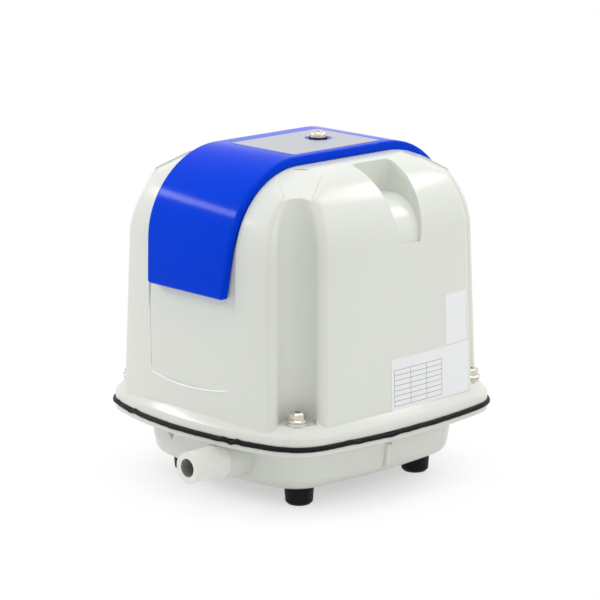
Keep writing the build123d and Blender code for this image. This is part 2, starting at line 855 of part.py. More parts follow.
def cable_gland():
    """A rubber bush: flanges on both sides of the wall and a sleeve outside."""
    pad_face = tub_wall_y(gland_x, gland_z) + wall / 2
    stops = (
        (pad_face - gland_pad_depth - gland_flange_thickness, pad_face - gland_pad_depth, gland_flange_radius),
        (pad_face - gland_pad_depth, pad_face, gland_neck_radius),
        (pad_face, pad_face + gland_flange_thickness, gland_flange_radius),
        (pad_face, pad_face + gland_sleeve_length, gland_sleeve_radius),
    )
    with BuildPart() as gland:
        for near, far, radius in stops:
            add(rod_disc(1, near, far, radius, x=gland_x, z=gland_z))
        near = stops[0][0]
        far = stops[-1][1]
        add(rod_disc(1, near, far, gland_bore, x=gland_x, z=gland_z), mode=Mode.SUBTRACT)
    return gland.part


def tank_gasket():
    with BuildPart() as gasket:
        add(ring(tank_plan(tank_margin), tank_plan(ledge_width), tank_top, tank_cover_bottom))
        with BuildSketch(Plane.XY.offset(tank_top)):
            with Locations(tank_screw_spots()):
                Circle(tank_screw_radius + fit_gap)
        extrude(amount=tank_gasket_thickness, mode=Mode.SUBTRACT)
    return gasket.part


def tank_cover():
    """The tank's lid, with pegs for the rubber mounts and a spigot for each hose."""
    with BuildPart() as cover:
        add(prism(tank_plan(tank_margin), tank_cover_bottom, tank_cover_top))
        with BuildSketch(Plane.XY.offset(tank_cover_top)):
            with Locations([(x * mount_x, y * mount_y) for x, y in corners]):
                Circle(mount_peg_radius)
        extrude(amount=mount_peg_height)
        with BuildSketch(Plane.XY.offset(tank_cover_top)):
            with Locations((0, -hose_y), (0, hose_y)):
                Circle(hose_spigot_radius)
        extrude(amount=hose_spigot_height)
        with BuildSketch(Plane.XY.offset(tank_cover_bottom)):
            with Locations((0, -hose_y), (0, hose_y)):
                Circle(hose_spigot_bore)
        extrude(amount=tank_cover_thickness + hose_spigot_height, mode=Mode.SUBTRACT)
        with BuildSketch(Plane.XY.offset(tank_cover_bottom)):
            with Locations(tank_screw_spots()):
                Circle(tank_screw_radius + fit_gap)
        extrude(amount=tank_cover_thickness, mode=Mode.SUBTRACT)
    return cover.part


def tank_cover_screws():
    with BuildPart() as screws:
        with BuildSketch(Plane.XY.offset(tank_cover_top)):
            with Locations(tank_screw_spots()):
                Circle(2 * tank_screw_radius)
        extrude(amount=tank_screw_radius)
        with BuildSketch(Plane.XY.offset(tank_cover_top)):
            with Locations(tank_screw_spots()):
                Circle(tank_screw_radius)
        extrude(amount=-(tank_cover_top - tank_top + ledge_depth))
    return screws.part


def vibration_mount(x, y):
    """A waisted rubber mount: it sits over a peg and its neck snaps into the pump frame."""
    top = mount_height + base_thickness
    with BuildPart() as mount:
        with BuildSketch(Plane.XZ):
            with BuildLine():
                side = Polyline((0, 0), (mount_radius, 0))
                waist = ThreePointArc(
                    side @ 1, (mount_radius - mount_waist, mount_height / 2), (mount_radius, mount_height)
                )
                Polyline(
                    waist @ 1,
                    (mount_neck_radius, mount_height),
                    (mount_neck_radius, top),
                    (mount_cap_radius, top),
                    (mount_neck_radius, top + mount_cap_height),
                    (0, top + mount_cap_height),
                    (0, 0),
                )
            make_face()
        revolve(axis=Axis.Z)
        with BuildSketch():
            Circle(mount_peg_radius)
        extrude(amount=mount_peg_height, mode=Mode.SUBTRACT)
    return mount.part.moved(Location((x * mount_x, y * mount_y, tank_cover_top)))


def head_screw_spots():
    return [(x * head_screw_half, rod_z + y * head_screw_half) for x, y in corners]


def pump_frame():
    """Base plate, two end plates that clamp the diaphragms, and a shelf for each stator."""
    with BuildPart() as frame:
        add(block((-base_half_x, -base_half_y, frame_bottom), (base_half_x, base_half_y, frame_top)))
        fillet(frame.edges().filter_by(Axis.Z), mount_cap_radius)
        for side in sides:
            near = min(side * end_plate_inner, side * diaphragm_seat)
            far = max(side * end_plate_inner, side * diaphragm_seat)
            add(block((-head_half, near, frame_top), (head_half, far, rod_z + head_half)))
            low_x = core_outer - pedestal_width
            near = min(side * low_x, side * core_outer)
            far = max(side * low_x, side * core_outer)
            add(block((near, -core_half_y, frame_top), (far, core_half_y, rod_z - core_half_z)))
        for side in sides:
            hole = rod_disc(side, end_plate_inner, diaphragm_seat, end_hole_radius)
            add(hole, mode=Mode.SUBTRACT)
            for x, z in head_screw_spots():
                hole = rod_disc(side, end_plate_inner, diaphragm_seat, head_screw_radius + fit_gap, x=x, z=z)
                add(hole, mode=Mode.SUBTRACT)
        with BuildSketch(Plane.XY.offset(frame_bottom)):
            with Locations([(x * mount_x, y * mount_y) for x, y in corners]):
                Circle(mount_neck_radius + fit_gap)
        extrude(amount=base_thickness, mode=Mode.SUBTRACT)
        with BuildSketch(Plane.XY.offset(rod_z - core_half_z)):
            with Locations(stator_screw_spots()):
                Circle(screw_radius + fit_gap)
        extrude(amount=-3 * screw_radius, mode=Mode.SUBTRACT)
    return frame.part


def stator_screw_spots():
    middle = core_outer - core_back / 2
    return [(x * middle, y * stator_screw_y) for x, y in corners]


def stator_core(side):
    """An E-shaped lamination stack, its three legs towards the armature."""
    with BuildPart() as core:
        with BuildSketch(Plane.XY.offset(rod_z - core_half_z)):
            with Locations((side * (core_back_start + core_back / 2), 0)):
                Rectangle(core_back, 2 * core_half_y)
            middle = side * (pole_face + leg_length / 2)
            with Locations((middle, 0)):
                Rectangle(leg_length, centre_leg)
            leg_y = core_half_y - outer_leg / 2
            with Locations((middle, leg_y), (middle, -leg_y)):
                Rectangle(leg_length, outer_leg)
        extrude(amount=2 * core_half_z)
        with BuildSketch(Plane.XY.offset(rod_z - core_half_z)):
            with Locations([spot for spot in stator_screw_spots() if spot[0] * side > 0]):
                Circle(screw_radius + fit_gap)
        extrude(amount=2 * core_half_z, mode=Mode.SUBTRACT)
    return core.part


def stator_screws():
    top = rod_z + core_half_z
    with BuildPart() as screws:
        with BuildSketch(Plane.XY.offset(top)):
            with Locations(stator_screw_spots()):
                Circle(head_screw_head_radius)
        extrude(amount=head_screw_head_height)
        with BuildSketch(Plane.XY.offset(top)):
            with Locations(stator_screw_spots()):
                Circle(screw_radius)
        extrude(amount=-(2 * core_half_z + 2 * screw_radius))
    return screws.part


def leg_ring(side, near, far, inner, outer):
    """A square ring round a stator's centre leg; inner and outer are its reach from the leg."""
    with BuildPart(mode=Mode.PRIVATE) as solid:
        with BuildSketch(Plane.YZ.offset(side * near)):
            with Locations((0, rod_z)):
                RectangleRounded(centre_leg + 2 * outer, 2 * core_half_z + 2 * outer, outer / 3)
                Rectangle(centre_leg + 2 * inner, 2 * core_half_z + 2 * inner, mode=Mode.SUBTRACT)
        extrude(amount=side * (far - near))
    return solid.part


def bobbin(side):
    start = pole_face + bobbin_start
    end = start + bobbin_length
    with BuildPart() as former:
        add(leg_ring(side, start, end, bobbin_gap, bobbin_gap + bobbin_wall))
        add(leg_ring(side, start, start + bobbin_wall, bobbin_gap, bobbin_reach))
        add(leg_ring(side, end - bobbin_wall, end, bobbin_gap, bobbin_reach))
    return former.part


def coil(side):
    start = pole_face + bobbin_start + bobbin_wall
    end = start + bobbin_length - 2 * bobbin_wall
    with BuildPart() as winding:
        add(leg_ring(side, start, end, bobbin_gap + bobbin_wall, coil_reach))
    return winding.part


def armature_rod():
    with BuildPart() as rod:
        for side in sides:
            add(rod_disc(side, 0, rod_shoulder, rod_radius))
            add(rod_disc(side, rod_shoulder, rod_end, rod_end_radius))
    return rod.part


def magnet_spots():
    middle_y = (magnet_near + magnet_far) / 2
    middle_z = (magnet_low + magnet_high) / 2
    return [(y * middle_y, rod_z + z * middle_z) for y, z in corners]


def magnet_holder():
    low = (-holder_half_x, -holder_half_y, rod_z - holder_half_z)
    high = (holder_half_x, holder_half_y, rod_z + holder_half_z)
    with BuildPart() as holder:
        add(block(low, high))
        fillet(holder.edges().filter_by(Axis.Z), rod_end_radius)
        with BuildSketch(Plane.YZ.offset(-holder_half_x)):
            with Locations(magnet_spots()):
                Rectangle(magnet_far - magnet_near, magnet_high - magnet_low)
        extrude(amount=2 * holder_half_x, mode=Mode.SUBTRACT)
        for side in sides:
            add(rod_disc(side, 0, holder_half_y, rod_radius), mode=Mode.SUBTRACT)
    return holder.part


def magnets():
    with BuildPart() as blocks:
        with BuildSketch(Plane.YZ.offset(-holder_half_x)):
            with Locations(magnet_spots()):
                Rectangle(magnet_far - magnet_near - fit_gap, magnet_high - magnet_low - fit_gap)
        extrude(amount=2 * holder_half_x)
    return blocks.part


def hub_plates():
    """The plates on both faces of each diaphragm that the rod clamps it with."""
    with BuildPart() as plates:
        for side in sides:
            add(rod_disc(side, rod_shoulder, diaphragm_seat, hub_plate_radius, rod_end_radius))
            end = head_inner + outer_plate_thickness
            add(rod_disc(side, head_inner, end, outer_plate_radius, rod_end_radius))
    return plates.part


def rod_nuts():
    with BuildPart() as nuts:
        for side in sides:
            with BuildSketch(Plane.XZ.offset(-side * (head_inner + outer_plate_thickness))):
                with Locations((0, rod_z)):
                    RegularPolygon(nut_flats / 2, 6, major_radius=False)
                    Circle(rod_end_radius, mode=Mode.SUBTRACT)
            extrude(amount=-side * nut_height)
    return nuts.part


def diaphragm(side):
    """A moulded rubber disc with a thick centre and rim and a rolled web between them."""
    middle = diaphragm_seat + diaphragm_thickness / 2
    bead = (chamber_radius + end_hole_radius) / 2 - web_half
    roll_middle = (roll_inner + bead) / 2
    with BuildPart() as disc:
        with BuildSketch(Plane.XY):
            with BuildLine():
                near = Line((rod_end_radius, diaphragm_seat), (roll_inner, diaphragm_seat))
                step = Line(near @ 1, (roll_inner, middle - web_half))
                inside = ThreePointArc(
                    step @ 1, (roll_middle, middle - web_half - roll_depth), (bead, middle - web_half)
                )
                Polyline(
                    inside @ 1,
                    (bead, diaphragm_seat),
                    (diaphragm_radius, diaphragm_seat),
                    (diaphragm_radius, head_inner),
                    (bead, head_inner),
                    (bead, middle + web_half),
                )
                outside = ThreePointArc(
                    (bead, middle + web_half),
                    (roll_middle, middle + web_half - roll_depth),
                    (roll_inner, middle + web_half),
                )
                Polyline(
                    outside @ 1,
                    (roll_inner, head_inner),
                    (rod_end_radius, head_inner),
                    (rod_end_radius, diaphragm_seat),
                )
            make_face()
        revolve(axis=Axis.Y)
    turn = 0 if side > 0 else 180
    return disc.part.moved(Location((0, 0, rod_z), (0, 0, turn)))


def pump_head(side):
    """Compression chamber, valve plate and the intake and delivery spaces behind it."""
    near = min(side * head_inner, side * head_outer)
    far = max(side * head_inner, side * head_outer)
    with BuildPart() as head:
        add(block((-head_half, near, head_bottom), (head_half, far, rod_z + head_half)))
        fillet(head.edges().filter_by(Axis.Y), mount_cap_radius)
        add(rod_disc(side, head_inner, plate_inner, chamber_radius), mode=Mode.SUBTRACT)
        for x, z in head_screw_spots():
            hole = rod_disc(side, head_inner, head_outer, head_screw_radius + fit_gap, x=x, z=z)
            add(hole, mode=Mode.SUBTRACT)
        for level in sides:
            low_z = rod_z + min(level * pocket_low_z, level * pocket_high_z)
            high_z = rod_z + max(level * pocket_low_z, level * pocket_high_z)
            near = min(side * plate_outer, side * head_outer)
            far = max(side * plate_outer, side * head_outer)
            add(block((-pocket_half_x, near, low_z), (pocket_half_x, far, high_z)), mode=Mode.SUBTRACT)
            port = rod_disc(side, plate_inner, plate_outer, port_radius, z=rod_z + level * port_z)
            add(port, mode=Mode.SUBTRACT)
        intake_bottom = rod_z + pocket_high_z - wall
        add(post(0, side * hose_y, intake_bottom, rod_z + head_half, intake_radius), mode=Mode.SUBTRACT)
        spigot_end = head_bottom - hose_spigot_height
        add(post(0, side * hose_y, spigot_end, head_bottom, hose_spigot_radius))
        add(post(0, side * hose_y, spigot_end, rod_z - pocket_high_z, hose_spigot_bore), mode=Mode.SUBTRACT)
    return head.part


def head_cover(side):
    near = min(side * head_outer, side * cover_outer)
    far = max(side * head_outer, side * cover_outer)
    with BuildPart() as plate:
        add(block((-head_half, near, head_bottom), (head_half, far, rod_z + head_half)))
        fillet(plate.edges().filter_by(Axis.Y), mount_cap_radius)
        for x, z in head_screw_spots():
            hole = rod_disc(side, head_outer, cover_outer, head_screw_radius + fit_gap, x=x, z=z)
            add(hole, mode=Mode.SUBTRACT)
    return plate.part


def head_screws():
    with BuildPart() as screws:
        for side in sides:
            for x, z in head_screw_spots():
                head = cover_outer + head_screw_head_height
                add(rod_disc(side, end_plate_inner, cover_outer, head_screw_radius, x=x, z=z))
                add(rod_disc(side, cover_outer, head, head_screw_head_radius, x=x, z=z))
    return screws.part


def valve_flap(side, level):
    """A flap over one port: level 1 opens into the chamber, level -1 away from it."""
    if level > 0:
        near = plate_inner - flap_gap - flap_thickness
        low_z = rod_z + flap_low
    else:
        near = plate_outer + flap_gap
        low_z = rod_z - flap_high
    far = near + flap_thickness
    low = (-flap_half_width, min(side * near, side * far), low_z)
    high = (flap_half_width, max(side * near, side * far), low_z + flap_high - flap_low)
    with BuildPart() as flap:
        add(block(low, high))
        fillet(flap.edges().filter_by(Axis.Y).group_by(Axis.Z)[0], flap_half_width / 3)
    return flap.part


def outlet_hose(side):
    bottom = tank_cover_top + hose_end_gap
    top = head_bottom - hose_end_gap
    with BuildPart() as hose:
        add(post(0, side * hose_y, bottom, top, hose_spigot_radius + hose_wall))
        add(post(0, side * hose_y, bottom, top, hose_spigot_radius + fit_gap), mode=Mode.SUBTRACT)
    return hose.part


def hose_clips():
    radius = hose_spigot_radius + hose_wall
    low = tank_cover_top + 2 * hose_end_gap
    high = head_bottom - 2 * hose_end_gap - clip_width
    with BuildPart() as clips:
        with BuildSketch(Plane.XY.offset(low)):
            with Locations((0, -hose_y), (0, hose_y)):
                Circle(radius + clip_thickness)
                Circle(radius + fit_gap, mode=Mode.SUBTRACT)
        extrude(amount=clip_width)
        with BuildSketch(Plane.XY.offset(high)):
            with Locations((0, -hose_y), (0, hose_y)):
                Circle(radius + clip_thickness)
                Circle(radius + fit_gap, mode=Mode.SUBTRACT)
        extrude(amount=clip_width)
    return clips.part


lever_y = end_plate_inner - lever_offset
pivot_z = rod_z + holder_half_z + ear_drop + lever_pivot_radius
switch_bottom = pivot_z + ear_drop


def safety_switch():
    """A switch on the rear end plate, with two ears that carry the trip lever."""
    low = (-switch_half_x, end_plate_inner - switch_depth, switch_bottom)
    high = (switch_half_x, end_plate_inner, switch_bottom + switch_height)
    with BuildPart() as switch:
        add(block(low, high))
        for side in sides:
            inner = side * (lever_half_x + seat_clearance)
            outer = inner + side * ear_thickness
            near = (min(inner, outer), lever_y - ear_drop, pivot_z - ear_drop)
            far = (max(inner, outer), lever_y + ear_drop, switch_bottom)
            add(block(near, far))
        with BuildSketch(Plane.YZ.offset(-switch_half_x)):
            with Locations((lever_y, pivot_z)):
                Circle(lever_pivot_radius + lever_pivot_running)
        extrude(amount=2 * switch_half_x, mode=Mode.SUBTRACT)
    return switch.part


def trip_lever():
    """A blade that hangs past the end of the armature and turns on its own pivot pin."""
    half_pin = lever_half_x + seat_clearance + ear_thickness
    with BuildPart() as lever:
        with BuildSketch(Plane.YZ.offset(-half_pin)):
            with Locations((lever_y, pivot_z)):
                Circle(lever_pivot_radius)
        extrude(amount=2 * half_pin)
        low = (-lever_half_x, lever_y - lever_thickness / 2, pivot_z - lever_length)
        add(block(low, (lever_half_x, lever_y + lever_thickness / 2, pivot_z)))
    return lever.part


def terminal_block():
    low = (terminal_x - terminal_width / 2, terminal_y - terminal_length / 2, tank_cover_top)
    high = (terminal_x + terminal_width / 2, terminal_y + terminal_length / 2, tank_cover_top + terminal_height)
    pitch = terminal_length / terminal_bays
    with BuildPart() as terminals:
        add(block(low, high))
        with BuildSketch(Plane.XY.offset(high[2])):
            with Locations((terminal_x, terminal_y)):
                with GridLocations(0, pitch, 1, terminal_bays):
                    Rectangle(terminal_width - wall, pitch - wall)
        extrude(amount=-terminal_height / 2, mode=Mode.SUBTRACT)
    return terminals.part


def write(name, piece):
    piece.label = name
    export_step(piece, f"parts/{name}.step")


end_names = {-1: "front", 1: "rear"}
side_names = {-1: "left", 1: "right"}

write("upper_case", upper_case())
write("lower_case", lower_case())
write("case_gasket", case_gasket())
write("case_bolts", case_bolts())
write("case_washers", case_washers())
write("filter_cover", filter_cover())
write("cover_screw", cover_screw())
write("cover_screw_washer", cover_screw_washer())
write("filter_element", filter_element())
write("outlet_nozzle", outlet_nozzle())
write("nozzle_seal", nozzle_seal())
write("cable_gland", cable_gland())
write("tank_gasket", tank_gasket())
write("tank_cover", tank_cover())
write("tank_cover_screws", tank_cover_screws())
write("pump_frame", pump_frame())
write("stator_screws", stator_screws())
write("armature_rod", armature_rod())
write("magnet_holder", magnet_holder())
write("magnets", magnets())
write("hub_plates", hub_plates())
write("rod_nuts", rod_nuts())
write("head_screws", head_screws())
write("hose_clips", hose_clips())
write("safety_switch", safety_switch())
write("trip_lever", trip_lever())
write("terminal_block", terminal_block())
for x, y in corners:
    place = f"{end_names[y]}_{side_names[x]}"
    write(f"foot_{place}", foot(x, y))
    write(f"vibration_mount_{place}", vibration_mount(x, y))
for side in sides:
    write(f"stator_core_{side_names[side]}", stator_core(side))
    write(f"bobbin_{side_names[side]}", bobbin(side))
    write(f"coil_{side_names[side]}", coil(side))
    write(f"diaphragm_{end_names[side]}", diaphragm(side))
    write(f"pump_head_{end_names[side]}", pump_head(side))
    write(f"head_cover_{end_names[side]}", head_cover(side))
    write(f"outlet_hose_{end_names[side]}", outlet_hose(side))
    write(f"intake_flap_{end_names[side]}", valve_flap(side, 1))
    write(f"delivery_flap_{end_names[side]}", valve_flap(side, -1))
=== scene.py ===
import json
import math

import bmesh
import bpy
from mathutils import Matrix, Vector, noise
from mathutils.bvhtree import BVHTree

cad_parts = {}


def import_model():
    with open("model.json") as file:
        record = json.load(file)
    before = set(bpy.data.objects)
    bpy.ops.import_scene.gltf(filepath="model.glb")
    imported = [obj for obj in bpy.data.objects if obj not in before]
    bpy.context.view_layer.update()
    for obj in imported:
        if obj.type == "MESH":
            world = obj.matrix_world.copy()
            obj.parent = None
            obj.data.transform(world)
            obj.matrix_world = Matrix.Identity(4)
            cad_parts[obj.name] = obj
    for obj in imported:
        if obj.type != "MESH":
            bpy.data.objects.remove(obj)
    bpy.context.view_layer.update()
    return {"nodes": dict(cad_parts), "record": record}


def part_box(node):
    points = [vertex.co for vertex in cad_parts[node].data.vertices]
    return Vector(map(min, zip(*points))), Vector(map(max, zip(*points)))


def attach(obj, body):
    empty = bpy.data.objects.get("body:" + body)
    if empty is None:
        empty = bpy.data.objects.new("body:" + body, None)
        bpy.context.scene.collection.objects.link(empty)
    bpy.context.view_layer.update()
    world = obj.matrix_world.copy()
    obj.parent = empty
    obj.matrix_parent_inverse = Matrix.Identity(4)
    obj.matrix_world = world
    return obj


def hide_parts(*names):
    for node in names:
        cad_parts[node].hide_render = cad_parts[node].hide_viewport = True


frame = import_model()
nodes = frame["nodes"]

# Camera, fitted to the photograph's 600 px frame
AZIMUTH = 46.3
ELEVATION = 13.24
DISTANCE = 1.7
FOCAL_PX = 2810
TARGET_Z = 0.10637
TARGET_RIGHT = -0.00083
FRAME_PX = 600
SENSOR = 36.0
CLIP_END = 20

# How far from the middle a ray starts, well outside every wall
RAY_START = 0.2


def link(obj):
    bpy.context.scene.collection.objects.link(obj)
    return obj


def mesh_object(name, verts, faces):
    mesh = bpy.data.meshes.new(name)
    mesh.from_pydata([tuple(v) for v in verts], [], faces)
    mesh.update()
    return link(bpy.data.objects.new(name, mesh))


def face_outward(obj):
    """Turn the faces of a closed mesh outward."""
    bm = bmesh.new()
    bm.from_mesh(obj.data)
    bmesh.ops.recalc_face_normals(bm, faces=bm.faces)
    bm.to_mesh(obj.data)
    bm.free()


def dress(obj, material, body, crease):
    """Give a built piece its finish and body, shaded smooth up to a crease in degrees."""
    obj.data.materials.append(material)
    obj.data.shade_smooth()
    obj.data.set_sharp_from_angle(angle=math.radians(crease))
    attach(obj, body)


def joined_round(turns, n):
    """Faces that join sections of n points round a full turn."""
    faces = []
    for k in range(turns):
        m = (k + 1) % turns
        faces += [(k * n + j, m * n + j, m * n + (j + 1) % n, k * n + (j + 1) % n) for j in range(n)]
    return faces


def turned(name, section, steps, place):
    """A ring: place gives the spot of each of the section's points at an angle."""
    verts = [place(point, 2 * math.pi * k / steps) for k in range(steps) for point in section]
    return mesh_object(name, verts, joined_round(steps, len(section)))


class Shader:
    """A node material with a few short calls for the patterns used below."""

    def __init__(self, name):
        self.mat = bpy.data.materials.new(name)
        self.mat.use_nodes = True
        self.tree = self.mat.node_tree
        self.bsdf = self.tree.nodes["Principled BSDF"]
        self.coord = self.tree.nodes.new("ShaderNodeTexCoord").outputs["Object"]

    def node(self, kind, inputs=(), **settings):
        n = self.tree.nodes.new("ShaderNode" + kind)
        for key, value in settings.items():
            setattr(n, key, value)
        for key, value in dict(inputs).items():
            if isinstance(value, bpy.types.NodeSocket):
                self.tree.links.new(value, n.inputs[key])
            else:
                n.inputs[key].default_value = value
        return n

    def set(self, **values):
        for key, value in values.items():
            name = key.replace("_", " ")
            if isinstance(value, bpy.types.NodeSocket):
                self.tree.links.new(value, self.bsdf.inputs[name])
            else:
                self.bsdf.inputs[name].default_value = value

    def noise(self, scale, detail=2.0, coord=None, stretch=None):
        coord = coord or self.coord
        if stretch:
            coord = self.node("Mapping", {"Vector": coord, "Scale": stretch}).outputs[0]
        n = self.node("TexNoise", {"Vector": coord, "Scale": scale, "Detail": detail})
        return n.outputs["Fac"]

    def spread(self, value, low, high, from_low=0.3, from_high=0.7):
        n = self.node(
            "MapRange",
            {"Value": value, "From Min": from_low, "From Max": from_high, "To Min": low, "To Max": high},
        )
        return n.outputs["Result"]

    def mix(self, factor, a, b):
        n = self.node("Mix", data_type="RGBA")
        for socket, value in ((0, factor), (6, a), (7, b)):
            if isinstance(value, bpy.types.NodeSocket):
                self.tree.links.new(value, n.inputs[socket])
            else:
                n.inputs[socket].default_value = value
        return n.outputs[2]

    def bump(self, height, distance, strength=1.0, normal=None):
        inputs = {"Height": height, "Distance": distance, "Strength": strength}
        if normal:
            inputs["Normal"] = normal
        return self.node("Bump", inputs).outputs[0]

    def bevel(self, radius):
        return self.node("Bevel", {"Radius": radius}, samples=6).outputs[0]


def rgb(r, g, b):
    """Linear colour from an sRGB one with channels up to 255."""
    def channel(c):
        c /= 255
        return c / 12.92 if c <= 0.04045 else ((c + 0.055) / 1.055) ** 2.4
    return (channel(r), channel(g), channel(b), 1.0)


def enamel():
    """Gloss grey-white paint over a die casting: faint orange peel and cloudiness."""
    s = Shader("enamel")
    s.set(
        Base_Color=s.mix(s.noise(9, 1), rgb(215, 218, 210), rgb(220, 223, 215)),
        Roughness=s.spread(s.noise(12, 1), 0.19, 0.24, 0.2, 0.8),
        Specular_IOR_Level=0.38,
    )
    peel = s.bump(s.noise(420, 1), 0.00002, 0.25, s.bevel(0.0008))
    s.set(Normal=s.bump(s.noise(30, 0), 0.0001, 0.3, peel))
    return s.mat


def blue_plastic():
    s = Shader("blue_plastic")
    s.set(
        Base_Color=s.mix(s.noise(20, 1), rgb(0, 57, 206), rgb(0, 63, 216)),
        Roughness=s.spread(s.noise(14, 1), 0.12, 0.15, 0.2, 0.8),
        Specular_IOR_Level=0.04,
    )
    s.set(Normal=s.bump(s.noise(420, 1), 0.00002, 0.25, s.bevel(0.0009)))
    return s.mat


def rubber(name, tone=24, rough=0.5):
    s = Shader(name)
    dust = s.spread(s.noise(180, 4), 0, 1, 0.45, 0.75)
    s.set(
        Base_Color=s.mix(dust, rgb(tone, tone, tone + 1), rgb(tone + 10, tone + 10, tone + 9)),
        Roughness=s.spread(s.noise(300, 3), rough - 0.08, rough + 0.1),
        Specular_IOR_Level=0.16,
    )
    s.set(Normal=s.bump(s.noise(1400, 3), 0.00005, 0.5, s.bevel(0.0006)))
    return s.mat


def metal(name, low, high, rough, stretch=(1, 1, 1), scale=700):
    s = Shader(name)
    grain = s.noise(scale, 4, stretch=stretch)
    s.set(
        Base_Color=s.mix(s.spread(grain, 0, 1), low, high),
        Metallic=1.0,
        Roughness=s.spread(grain, rough, rough + 0.14),
    )
    s.set(Normal=s.bump(grain, 0.00003, 0.35, s.bevel(0.0003)))
    return s.mat


def plastic(name, low, high, rough=0.42):
    s = Shader(name)
    s.set(
        Base_Color=s.mix(s.spread(s.noise(120, 4), 0, 1), low, high),
        Roughness=s.spread(s.noise(400, 3), rough - 0.06, rough + 0.1),
    )
    s.set(Normal=s.bump(s.noise(1100, 3), 0.00004, 0.4, s.bevel(0.0005)))
    return s.mat


NOZZLE_BORE = 0.0054
nozzle_low, nozzle_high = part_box("outlet_nozzle")
nozzle_x = (nozzle_low.x + nozzle_high.x) / 2
nozzle_z = (nozzle_low.z + nozzle_high.z) / 2


def moulding():
    """Satin light grey plastic, with painted shade inside the outlet's bore."""
    s = Shader("nozzle_plastic_bore_shade")
    light = s.mix(s.noise(40, 2), rgb(224, 226, 218), rgb(230, 232, 225))
    across = s.node("VectorMath", {0: s.coord, 1: (1, 0, 1)}, operation="MULTIPLY").outputs["Vector"]
    axis = (nozzle_x, 0, nozzle_z)
    reach = s.node("VectorMath", {0: across, 1: axis}, operation="DISTANCE").outputs["Value"]
    # Inside the bore's radius the colour falls to a darker grey: painted shade in the hollow bore.
    outside = s.spread(reach, 0, 1, NOZZLE_BORE, NOZZLE_BORE + 0.0003)
    s.set(
        Base_Color=s.mix(outside, rgb(158, 160, 154), light),
        Roughness=s.spread(s.noise(200, 3), 0.30, 0.40),
    )
    s.set(Normal=s.bump(s.noise(900, 2), 0.00003, 0.3, s.bevel(0.0006)))
    return s.mat


def banded(name, low, high, axis, pitch, metallic, rough):
    """Fine parallel bands, as on a winding or a stack of laminations."""
    s = Shader(name)
    bands = {"Vector": s.coord, "Scale": 1 / pitch / math.pi, "Distortion": 0.4, "Detail": 1.0}
    n = s.node("TexWave", bands)
    n.bands_direction = axis
    wave = n.outputs["Fac"]
    s.set(Base_Color=s.mix(wave, low, high), Metallic=metallic, Roughness=rough)
    s.set(Normal=s.bump(wave, 0.0002, 0.6))
    return s.mat


def foam():
    s = Shader("filter_foam")
    cells = s.node("TexVoronoi", {"Vector": s.coord, "Scale": 650.0}).outputs["Distance"]
    s.set(Base_Color=s.mix(cells, rgb(30, 31, 33), rgb(66, 67, 70)), Roughness=0.95)
    s.set(Normal=s.bump(cells, 0.0006, 0.9))
    return s.mat


def foil(name, low, high, metallic, rough):
    """Printed label stock, faintly brushed."""
    s = Shader(name)
    grain = s.noise(260, 3, stretch=(1, 9, 9))
    s.set(
        Base_Color=s.mix(s.spread(grain, 0, 1), low, high),
        Metallic=metallic,
        Roughness=s.spread(grain, rough, rough + 0.08),
    )
    s.set(Normal=s.bump(grain, 0.00001, 0.3))
    return s.mat


def ink(name, color):
    s = Shader(name)
    s.set(Base_Color=s.mix(s.spread(s.noise(900, 2), 0, 1), color, rgb(120, 122, 124)), Roughness=0.45)
    return s.mat


case_paint = enamel()
blue = blue_plastic()
black_rubber = rubber("black_rubber", 9)
soft_rubber = rubber("soft_rubber", 34, 0.6)
nickel = metal("nickel", rgb(198, 192, 180), rgb(226, 221, 210), 0.22)
steel = metal("bright_steel", rgb(170, 170, 172), rgb(205, 205, 206), 0.25, (1, 12, 1))
cast = metal("cast_aluminium", rgb(165, 167, 170), rgb(192, 193, 195), 0.45, scale=300)
ferrite = plastic("ferrite", rgb(38, 38, 40), rgb(56, 56, 58), 0.6)
nozzle_grey = moulding()
black_plastic = plastic("black_plastic", rgb(26, 26, 28), rgb(38, 38, 40))
natural_plastic = plastic("natural_plastic", rgb(214, 210, 198), rgb(226, 222, 212))
copper = banded("winding", rgb(120, 52, 22), rgb(196, 104, 58), "X", 0.0009, 0.9, 0.35)
laminated = banded("laminations", rgb(52, 53, 56), rgb(96, 97, 100), "Z", 0.0007, 0.8, 0.5)
filter_foam = foam()

FINISHES = (
    ("upper_case", case_paint), ("lower_case", case_paint), ("filter_cover", blue),
    ("case_gasket", black_rubber), ("foot_", black_rubber), ("cable_gland", black_rubber),
    ("nozzle_seal", black_rubber), ("tank_gasket", black_rubber), ("outlet_hose_", black_rubber),
    ("vibration_mount_", soft_rubber), ("diaphragm_", soft_rubber), ("intake_flap_", soft_rubber),
    ("delivery_flap_", soft_rubber), ("cover_screw_washer", soft_rubber),
    ("case_bolts", nickel), ("case_washers", nickel), ("cover_screw", nickel),
    ("tank_cover_screws", nickel), ("stator_screws", nickel), ("rod_nuts", nickel), ("head_screws", nickel),
    ("outlet_nozzle", nozzle_grey), ("filter_element", filter_foam), ("tank_cover", black_plastic),
    ("pump_frame", cast), ("head_cover_", cast), ("armature_rod", steel), ("hub_plates", steel),
    ("hose_clips", steel), ("magnet_holder", black_plastic), ("magnets", ferrite),
    ("safety_switch", black_plastic), ("terminal_block", black_plastic), ("pump_head_", black_plastic),
    ("bobbin_", black_plastic), ("trip_lever", natural_plastic), ("coil_", copper),
    ("stator_core_", laminated),
)

SMOOTH_ANGLE = math.radians(28)


def finish_of(name):
    exact = [m for key, m in FINISHES if key == name]
    if exact:
        return exact[0]
    return next(m for key, m in FINISHES if name.startswith(key))


